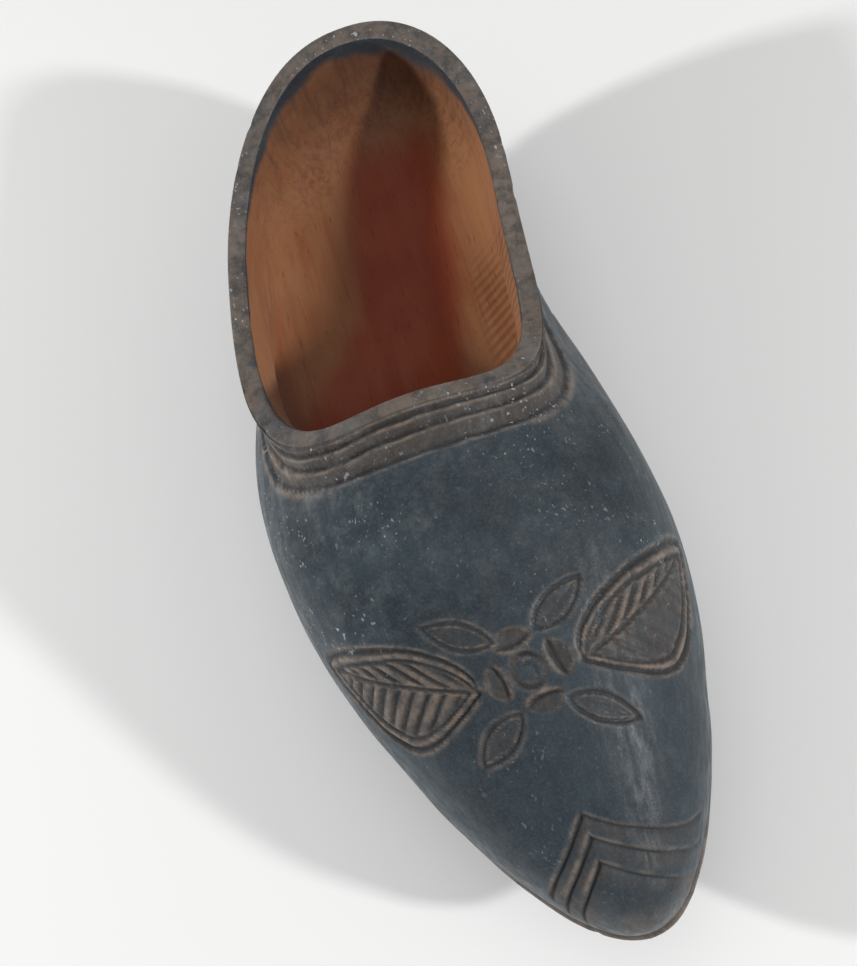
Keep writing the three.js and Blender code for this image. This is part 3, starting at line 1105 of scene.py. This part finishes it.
def wrapped_mesh(name: str, points: Array, marks: dict[str, Array]) -> bpy.types.Object:
    """Bends a grid into a closed skin, with its rows as closed rings and its ends as poles.

    Args:
        name: the piece's name.
        points: rows by columns by 3, in metres; the last column repeats the first.
        marks: values to store on the mesh, each rows by columns.

    Returns:
        The piece, smooth, with its faces outwards.
    """
    rows, columns = points.shape[0] - 1, points.shape[1] - 1
    bm = bmesh.new()
    bmesh.ops.create_grid(bm, x_segments=columns, y_segments=rows, size=0.5)
    layers = {key: bm.verts.layers.float.new(key) for key in marks}
    for vert in bm.verts:
        column = round((vert.co.x + 0.5) * columns)
        row = round((vert.co.y + 0.5) * rows)
        vert.co = points[row, column]
        for key, layer in layers.items():
            vert[layer] = float(marks[key][row, column])
    bmesh.ops.remove_doubles(bm, verts=bm.verts, dist=2e-6)
    bmesh.ops.dissolve_degenerate(bm, edges=bm.edges, dist=1e-7)
    bmesh.ops.recalc_face_normals(bm, faces=bm.faces)
    for face in bm.faces:
        face.smooth = True
    mesh = bpy.data.meshes.new(name)
    bm.to_mesh(mesh)
    bm.free()
    piece = bpy.data.objects.new(name, mesh)
    bpy.context.collection.objects.link(piece)
    return piece


@dataclass(frozen=True)
class Skin:
    """The smooth surface before it is carved, with what each of its points needs to know."""

    points: Array
    normal: Array
    girth: Array
    down: Array
    s: Array
    aside: Array
    from_rim: Array
    from_edge: Array
    outside: Array
    on_rim: Array
    inside: Array
    stray: Array
    fine_stray: Array


@dataclass(frozen=True)
class ClogShell:
    """The carved and hollowed shoe, outside and inside in one skin."""

    sizes: ClogSizes
    girth_steps: int = 146
    top_spacing: float = 0.62
    sole_spacing: float = 1.75
    band_pitch: float = 0.42
    band_reach: float = 17.0
    plain_pitch: float = 1.0
    motif_pitch: float = 0.5
    motif_reach: tuple[float, float] = (50.0, 141.0)
    rim_rows: int = 7
    inside_rows: int = 34
    inside_cap: int = 9

    def rows(self) -> tuple[Loops, Array, Array]:
        """Chooses the loops, close together where the carving is fine.

        Returns:
            The loops from the nose over the rim to the cavity's end, the distance of each down the vamp
            from the rim (negative inside), and which part each belongs to: 0 outside, 1 rim, 2 inside.
        """
        fan = LoopFan(self.sizes)
        dense = np.concatenate([np.linspace(0.0, 1.0, 1500), np.linspace(1.0, 2.0, 900)[1:]])
        loops = fan.outside_from_rim(dense)
        step = np.hypot(np.diff(loops.crest_s), np.diff(loops.crest_z))
        run = np.concatenate([[0.0], np.cumsum(step)])
        motif_start, motif_end = self.motif_reach
        stretches = ((0.0, self.band_reach, self.band_pitch), (self.band_reach, motif_start, self.plain_pitch),
                     (motif_start, motif_end, self.motif_pitch), (motif_end, run[-1], self.plain_pitch))
        down = np.concatenate([np.linspace(start, end, int((end - start) / pitch), endpoint=False)
                               for start, end, pitch in stretches] + [run[-1:]])
        outside = fan.outside_from_rim(np.interp(down, run, dense))
        backwards = slice(None, None, -1)
        outside = Loops(*(getattr(outside, f.name)[backwards] for f in fields(Loops)))
        turn = np.linspace(0.0, math.pi, self.rim_rows + 2)[1:-1]
        rim = fan.over_rim((1.0 - np.cos(turn)) / 2)
        place = np.linspace(0.0, 1.0, self.inside_rows) ** 1.15
        close = np.linspace(0.0, 1.0, self.inside_cap + 1)[1:]
        inside = fan.inside_from_rim(np.concatenate([place, 1.0 + close]))
        hidden = len(place) + len(close)
        part = np.concatenate([np.zeros(len(down)), np.ones(self.rim_rows), np.full(hidden, 2.0)])
        depth = np.concatenate([down[backwards], np.full(self.rim_rows + hidden, -1.0)])
        return Loops.joined([outside, rim, inside]), depth, part

    def build(self) -> bpy.types.Object:
        """Shapes, hollows and carves the shoe.

        Returns:
            The piece.
        """
        skin = self.smooth_skin()
        cuts = self.carved(skin)
        points = self.worked(skin, cuts)
        piece = wrapped_mesh("clog_shell", self.sizes.placed(points), self.aged_and_shaded(skin, cuts, points))
        log.info("shell faces %d", len(piece.data.polygons))
        return piece

    def smooth_skin(self) -> Skin:
        """Lays the smooth surface, with its points closer together over the top than under the sole.

        Returns:
            The surface.
        """
        c = self.sizes
        loops, down, part = self.rows()
        even = np.linspace(0.0, 1.0, self.girth_steps)
        widths = lerp(self.top_spacing, self.sole_spacing, ease(even, 0.52, 0.8))
        shares = np.concatenate([[0.0], np.cumsum(widths)]) / widths.sum()
        points, girth = evenly_round(loops, c, shares)
        log.info("loops %d, points round each %d", points.shape[0], points.shape[1])
        s = c.length / 2 - points[..., 1]
        inside = part == 2
        rim_line = points[np.flatnonzero(part == 0)[-1]]
        edge_line = points[np.flatnonzero(inside)[0]]
        return Skin(points=points, normal=outward(points), girth=girth,
                    down=np.broadcast_to(down[:, None], girth.shape), s=s, aside=points[..., 0] - c.swing(s),
                    from_rim=self.distance(points, rim_line), from_edge=self.distance(points, edge_line),
                    outside=np.broadcast_to((part == 0)[:, None], girth.shape), on_rim=(part == 1)[:, None],
                    inside=inside[:, None], stray=wander(points, 9.0, 5), fine_stray=wander(points, 3.5, 6))

    def carved(self, skin: Skin) -> Cuts:
        """Cuts the whole ornament into the outside.

        Args:
            skin: the smooth surface.

        Returns:
            The cuts.
        """
        cuts = Cuts.none(skin.girth.shape)
        wobble = 0.7 * skin.stray + 0.5 * skin.fine_stray
        drawing = (skin.down, skin.girth, wobble)
        cuts.add(RimRidges().cut(skin.from_rim, skin.s, wobble, skin.girth))
        for side in Side:
            cuts.add(Leaf(side).cut(*drawing))
            out = side.value
            cuts.add(Petal((62.6, 5.6 * out), (55.0, 20.6 * out)).cut(*drawing))
            cuts.add(Petal((81.0, 6.2 * out), (90.2, 20.2 * out)).cut(*drawing))
        cuts.add(Rosette().cut(*drawing))
        for apex in ((107.6, -2.7), (113.3, -3.0), (119.7, -3.6)):
            cuts.add(Chevron(apex).cut(*drawing))
        cuts.add(ToeLip().cut(skin.points, self.sizes, wobble))
        cuts.add(HeelLine().cut(skin.points, self.sizes, wobble))
        for values in (cuts.depth, cuts.worn, cuts.shade_and_grime):
            values[~skin.outside] = 0.0
        return cuts

    @staticmethod
    def rim_chips(skin: Skin) -> Array:
        """Returns how deep small knocks have chipped the rim's outer edge."""
        chips = 0.35 * ease(wander(skin.points, 5.0, 21), 0.35, 0.8)
        return chips * ease(skin.from_rim, 2.2, 0.2) * (~skin.inside)

    def worked(self, skin: Skin, cuts: Cuts) -> Array:
        """Moves the surface by the cuts, the knife's facets, the spoon's scallops and the chips.

        Args:
            skin: the smooth surface.
            cuts: the ornament.

        Returns:
            The finished points, in loft millimetres.
        """
        smooth = skin.points
        knife = 0.28 * wander(smooth, 15.0, 11, (1, 2.2, 1)) + 0.12 * wander(smooth, 6.0, 12, (1, 2.0, 1))
        gouged = self.gouge_marks(smooth, skin.girth)
        inside_share = ease(skin.from_edge, 0.5, 5.0) * skin.inside
        rim_share = ease(np.minimum(skin.from_rim, skin.from_edge), 0.0, 1.5)
        move = -cuts.depth + knife * (1.0 - inside_share) * rim_share * 0.8 - 0.2 + gouged * inside_share
        move = move - self.rim_chips(skin)
        points = smooth + skin.normal * move[..., None]
        points[..., 2] = np.maximum(points[..., 2], 0.0)
        points[:, -1] = points[:, 0]
        for end in (0, -1):
            points[end] = points[end].mean(axis=0)
        return points

    def aged_and_shaded(self, skin: Skin, cuts: Cuts, points: Array) -> dict[str, Array]:
        """Works out where paint is rubbed, where soiling, dust, painted shade and painted highlights lie, and
        where the bare wood shows.

        Args:
            skin: the smooth surface.
            cuts: the ornament.
            points: the finished points, in loft millimetres.

        Returns:
            The marks to store on the mesh, by name.
        """
        c, s, smooth = self.sizes, skin.s, skin.points
        height = smooth[..., 2]
        rim_top = skin.on_rim * np.ones_like(skin.girth) * (0.72 + 0.3 * wander(smooth, 14.0, 61))
        # painted highlights on ridge crests, the rim's edges and top, and the toe, with rubbed wood there too
        proud = softened(cuts.depth, 7) - cuts.depth
        inner_edge = 0.9 * ease(skin.from_edge, 1.3, 0.4) * ease(skin.stray, -0.5, 0.4) * (~skin.inside)
        lip = height - (ToeLip.notch_height - 0.1 * (c.length - s)) + 3.0
        toe_edge = ease(np.abs(lip), 3.6, 1.0) * ease(s, 238.0, 262.0) * skin.outside
        tip = 0.4 * ease(s, 266.0, 279.0) * ease(skin.stray, -0.6, 0.5) * skin.outside
        pale = np.maximum.reduce([ease(proud, 0.05, 0.30), inner_edge, toe_edge, 0.8 * rim_top, tip])

        rim_wear = (0.62 + 0.25 * skin.stray) * ease(skin.from_rim, 9.0, 0.5) * ease(s, 125.0, 95.0) * skin.outside
        tread = ease(points[..., 2], 3.0, 0.3) * skin.outside
        patch = self.worn_patches(smooth, s) * skin.outside
        worn = [cuts.worn, rim_wear, rim_top, tread, 0.4 * self.rim_chips(skin), patch]
        # painted shade: high on the heel's inner wall and deep in the toe
        cavity_shade = 0.5 * ease(s, 62.0, 12.0) * ease(height, 26.0, 44.0) + 0.85 * ease(s, 150.0, 185.0)
        left = 0.45 + 0.55 * ease(-skin.girth, -10.0, 45.0) + 0.5 * ease(-skin.girth, 34.0, 60.0)
        lie = ease(skin.down, 85.0, 5.0) * left * ease(s, 100.0, 125.0)
        dusty = np.maximum(0.16 + 0.95 * lie, 1.1 * rim_top) + 0.25 * wander(smooth, 16.0, 71)
        return {
            "worn": np.clip(np.maximum.reduce(worn), 0.0, 1.0),
            "shade_and_grime": cuts.shade_and_grime,
            "pale": pale,
            "dusty": np.clip(dusty, 0.0, 1.0),
            "inward": np.where(skin.inside, skin.from_edge, -np.minimum(skin.from_edge, 6.0)),
            "spill": 0.4 + (5.0 + 4.0 * ease(skin.aside, -5.0, 25.0)) * ease(s, 62.0, 8.0),
            # painted shade in the middle of the insole
            "bed_shade": self.bed_shade_share(skin) * skin.inside,
            "chatter": ease(s, 70.0, 88.0) * ease(s, 132.0, 112.0) * ease(skin.aside, 24.0, 30.0),
            "cavity_shade": np.clip(cavity_shade, 0.0, 1.0),
        }

    @staticmethod
    def distance(points: Array, line: Array) -> Array:
        """Measures from each point to the nearest corner or stretch of a line.

        Args:
            points: rows of points.
            line: the corners of the line, in order.

        Returns:
            One distance for each point.
        """
        starts = line[:-1]
        ends = line[1:]
        spans = ends - starts
        lengths = np.maximum((spans ** 2).sum(-1), 1e-12)
        result = np.empty(points.shape[:-1])
        for row in range(points.shape[0]):
            gap = points[row][:, None, :] - starts[None]
            share = np.clip((gap * spans[None]).sum(-1) / lengths, 0.0, 1.0)
            off = gap - share[..., None] * spans[None]
            result[row] = np.sqrt((off ** 2).sum(-1).min(axis=1))
        return result

    @staticmethod
    def gouge_marks(points: Array, girth: Array) -> Array:
        """Works out the scallops that the hollowing spoon leaves.

        Args:
            points: the smooth surface, in loft millimetres.
            girth: signed distance round from the crest.

        Returns:
            How far each point stands out or in.
        """
        drift = 4.0 * wander(points, 30.0, 31) + 1.2 * wander(points, 8.0, 32)
        scallop = np.abs(np.sin(math.pi * (girth + drift) / 8.5)) - 0.6
        rough = wander(points, 4.0, 33, (1, 3, 1))
        return 0.22 * scallop + 0.10 * rough

    @staticmethod
    def worn_patches(points: Array, s: Array) -> Array:
        """Finds where knocks have rubbed the paint thin: low on both sides of the heel and at the toe.

        Args:
            points: the smooth surface, in loft millimetres.
            s: distance from the back of the heel.

        Returns:
            The wear, from 0 to 0.85.
        """
        patches = wander(points, 13.0, 41, (1, 1.5, 0.8)) * 0.65 + wander(points, 4.0, 42) * 0.35
        height = points[..., 2]
        place = ease(s, 30.0, 44.0) * ease(s, 98.0, 72.0) * ease(height, 48.0, 40.0) * ease(height, 24.0, 32.0)
        ledge = ease(s, 24.0, 40.0) * ease(s, 106.0, 92.0) * ease(height, 23.5, 21.5)
        tip = ease(s, 262.0, 279.0)
        centre = 0.5 * ease(np.hypot((s - 62.0) / 24.0, (height - 38.0) / 8.0), 1.0, 0.2)
        rubbed = [ease(patches + centre, 0.2, 0.55) * place, 0.8 * ease(patches, -0.2, 0.4) * ledge,
                  0.6 * ease(patches, 0.18, 0.5) * tip]
        return 0.85 * np.maximum.reduce(rubbed)

    @staticmethod
    def bed_shade_share(skin: Skin) -> Array:
        """Finds where painted shade reddens and darkens the middle of the insole; it widens outwards to the front.

        Args:
            skin: the smooth surface.

        Returns:
            A share from 0 on the walls to 0.9 where the insole's middle is painted as shade.
        """
        forward = ease(skin.s, 76.0, 132.0)
        half = lerp(14.0, 28.0, forward)
        shaded_middle = ease(np.abs(skin.aside - lerp(6.0, -13.0, forward)), half + 9.0, half - 5.0)
        flat = ease(np.abs(skin.normal[..., 2]), 0.55, 0.9)
        return np.maximum(0.9 * shaded_middle * flat * ease(skin.s, 14.0, 34.0), 0.9 * ease(skin.s, 146.0, 185.0))


@dataclass(frozen=True)
class HeelBlock:
    """The heel under the seat, with a round back and a hollowed breast."""

    sizes: ClogSizes
    rear: float = 36.0
    front: float = 89.0
    width: float = 62.0
    tread_rear: float = 45.0
    tread_front: float = 86.0
    tread_width: float = 56.0
    sink: float = 5.0
    cove: float = 7.0
    columns: int = 220

    def build(self) -> bpy.types.Object:
        """Shapes the heel from its tread up into the sole.

        Returns:
            The piece.
        """
        c = self.sizes
        top = c.heel_height + self.sink
        heights = np.linspace(0.35, top, 34)
        rows = [self.ring(c, 0.0, share) for share in (0.0, 0.35, 0.7, 0.93, 0.975)]
        rows += [self.ring(c, z, 1.0) for z in heights]
        rows += [self.ring(c, top + 0.05, share) for share in (0.7, 0.35, 0.0)]
        points = np.stack(rows)
        normal = outward(points)
        side = (points[..., 2] > 0.2) & (points[..., 2] < top)
        knife = 0.3 * wander(points, 13.0, 51, (1, 1, 1.8)) + 0.12 * wander(points, 4.0, 52)
        points = points + normal * (knife * side)[..., None]
        points[..., 2] = np.maximum(points[..., 2], 0.0)
        points[:, -1] = points[:, 0]
        height = points[..., 2]
        worn = np.clip(0.95 * ease(height, 2.6, 0.3) + 0.3 * ease(wander(points, 8.0, 53), 0.2, 0.6), 0.0, 1.0)
        # painted shade and soiling along the top of the heel, where it meets the sole
        seam = ease(height, c.heel_height - 2.0, c.heel_height + 1.5)
        zeros = np.zeros_like(height)
        marks = {"worn": worn, "shade_and_grime": 0.85 * seam, "pale": zeros, "dusty": zeros + 0.15, "inward": zeros - 6.0,
                 "spill": zeros, "bed_shade": zeros, "chatter": zeros, "cavity_shade": zeros}
        log.info("heel rings %d", len(rows))
        return wrapped_mesh("heel_block", c.placed(points), marks)

    def ring(self, c: ClogSizes, height: float, share: float) -> Array:
        """Returns one outline of the heel.

        Args:
            c: the clog's sizes.
            height: its height over the ground.
            share: how large it is, from 0 at its middle to 1 at full size.

        Returns:
            A closed ring of points, in loft millimetres.
        """
        up = height / (c.heel_height + self.sink)
        rounding = 1.1 * (1.0 - min(height / 1.6, 1.0)) ** 2
        rear = lerp(self.tread_rear, self.rear, up ** 0.85) + rounding
        cove = self.cove * max(0.0, (up - 0.45) / 0.55) ** 2.2
        front = lerp(self.tread_front, self.front, up) + cove - rounding
        width = lerp(self.tread_width, self.width, up ** 0.85) - 2 * rounding
        middle, reach = (rear + front) / 2, (front - rear) / 2 * share
        angle = 2 * math.pi * np.linspace(0.0, 1.0, self.columns + 1)
        forward, aside = np.cos(angle), np.sin(angle)
        power = np.where(forward > 0, 0.42, 0.8)
        s = middle + reach * np.sign(forward) * np.abs(forward) ** power
        x = width / 2 * share * np.sign(aside) * np.abs(aside) ** power
        return np.stack([c.swing(s) + x, c.length / 2 - s, np.full_like(s, height)], axis=-1)


# ---- the studio ----


@dataclass(frozen=True)
class Softbox:
    """One soft light, by its bearing from the clog: 0 is the inner side and -90 the toe."""

    name: str
    bearing: float
    rise: float
    distance: float
    power: float
    width: float
    depth: float
    mirrored: bool = True
    spread: bool = True

    def offset(self) -> Vector:
        """Finds where the light stands.

        Returns:
            Its place from the clog, in metres.
        """
        level = self.distance * math.cos(math.radians(self.rise))
        bearing = math.radians(self.bearing)
        height = self.distance * math.sin(math.radians(self.rise))
        return Vector((level * math.cos(bearing), level * math.sin(bearing), height))


@dataclass(frozen=True)
class Studio:
    """The floor, the lights and the camera."""

    sizes: ClogSizes
    azimuth: float = 9.3
    elevation: float = 65.5
    roll: float = 27.4
    shift: tuple[float, float, float] = (-1.0, 11.0, -348.0)
    focus: float = 1241.0
    frame_height: float = 966.0
    target_height: float = 45.0
    floor_size: float = 4.0
    surround: float = 0.32
    boxes: tuple[Softbox, ...] = (
        Softbox("right_light", -32.0, 24.0, 1.4, 13.5, 0.09, 0.09, mirrored=False),
        Softbox("left_light", 170.0, 22.5, 1.4, 15.0, 0.1, 0.1, mirrored=False),
        Softbox("strip_light", -32.0, 42.5, 1.4, 13.0, 0.5, 0.07, spread=False),
        Softbox("over_light", 90.0, 75.0, 1.5, 2.6, 1.2, 1.2),
    )

    def axes(self) -> Matrix:
        """Turns the camera.

        Returns:
            Its right, up and back directions, as the columns of a matrix.
        """
        a, e, r = (math.radians(v) for v in (self.azimuth, self.elevation, self.roll))
        right = Vector((math.cos(a), math.sin(a), 0.0))
        back = Vector((math.sin(a) * math.cos(e), -math.cos(a) * math.cos(e), math.sin(e)))
        up = back.cross(right)
        level = Matrix((right, up, back))
        turned = Matrix.Rotation(r, 3, "Z") @ level
        return turned.transposed()

    def target(self) -> Vector:
        """Returns the point that the camera circles, in metres."""
        return Vector(self.sizes.placed(np.array((0.0, 0.0, self.target_height))).tolist())

    def build_camera(self) -> bpy.types.Object:
        """Adds the camera and makes it the scene's.

        Returns:
            The camera.
        """
        data = bpy.data.cameras.new("camera")
        data.sensor_fit = "VERTICAL"
        data.sensor_height = 36.0
        data.lens = self.focus * data.sensor_height / self.frame_height
        data.clip_start = 0.01
        camera = bpy.data.objects.new("camera", data)
        axes = self.axes()
        place = self.target() - axes @ (Vector(self.shift) * MM)
        camera.matrix_world = Matrix.Translation(place) @ axes.to_4x4()
        bpy.context.collection.objects.link(camera)
        bpy.context.scene.camera = camera
        return camera

    def build_lights(self) -> None:
        """Adds the soft lights and the pale surround."""
        for box in self.boxes:
            data = bpy.data.lights.new(box.name, "AREA")
            data.energy = box.power
            data.shape = "RECTANGLE"
            data.size = box.width
            data.size_y = box.depth
            light = bpy.data.objects.new(box.name, data)
            light.visible_glossy = box.mirrored
            light.visible_diffuse = box.spread
            place = self.target() + box.offset()
            facing = box.offset().to_track_quat("Z", "Y")
            light.matrix_world = Matrix.Translation(place) @ facing.to_matrix().to_4x4()
            bpy.context.collection.objects.link(light)
        world = bpy.data.worlds.new("surround")
        world.use_nodes = True
        sky = world.node_tree.nodes["Background"]
        sky.inputs["Color"].default_value = (1.0, 1.0, 1.0, 1.0)
        sky.inputs["Strength"].default_value = self.surround
        bpy.context.scene.world = world
        bpy.context.scene.view_settings.view_transform = "Standard"

    def build_floor(self) -> bpy.types.Object:
        """Lays the floor.

        Returns:
            The floor.
        """
        bm = bmesh.new()
        bmesh.ops.create_grid(bm, x_segments=8, y_segments=8, size=self.floor_size)
        mesh = bpy.data.meshes.new("floor")
        bm.to_mesh(mesh)
        bm.free()
        floor = bpy.data.objects.new("floor", mesh)
        floor.data.materials.append(StudioPaper().mixed())
        bpy.context.collection.objects.link(floor)
        return floor


def main() -> None:
    """Builds the clog piece by piece, then the studio round it."""
    logging.basicConfig(level=logging.INFO, format="%(name)s: %(message)s")
    sizes = ClogSizes()
    finish = AgedPaintAndShade().mixed()
    studio = Studio(sizes)
    studio.build_camera()
    shell = ClogShell(sizes).build()
    heel = HeelBlock(sizes).build()
    for piece in (shell, heel):
        piece.data.materials.append(finish)
        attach(piece, "root")
        log.info("piece %s: %d faces", piece.name, len(piece.data.polygons))
    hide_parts("clog_body")
    studio.build_floor()
    studio.build_lights()


if __name__ == "__main__":
    main()
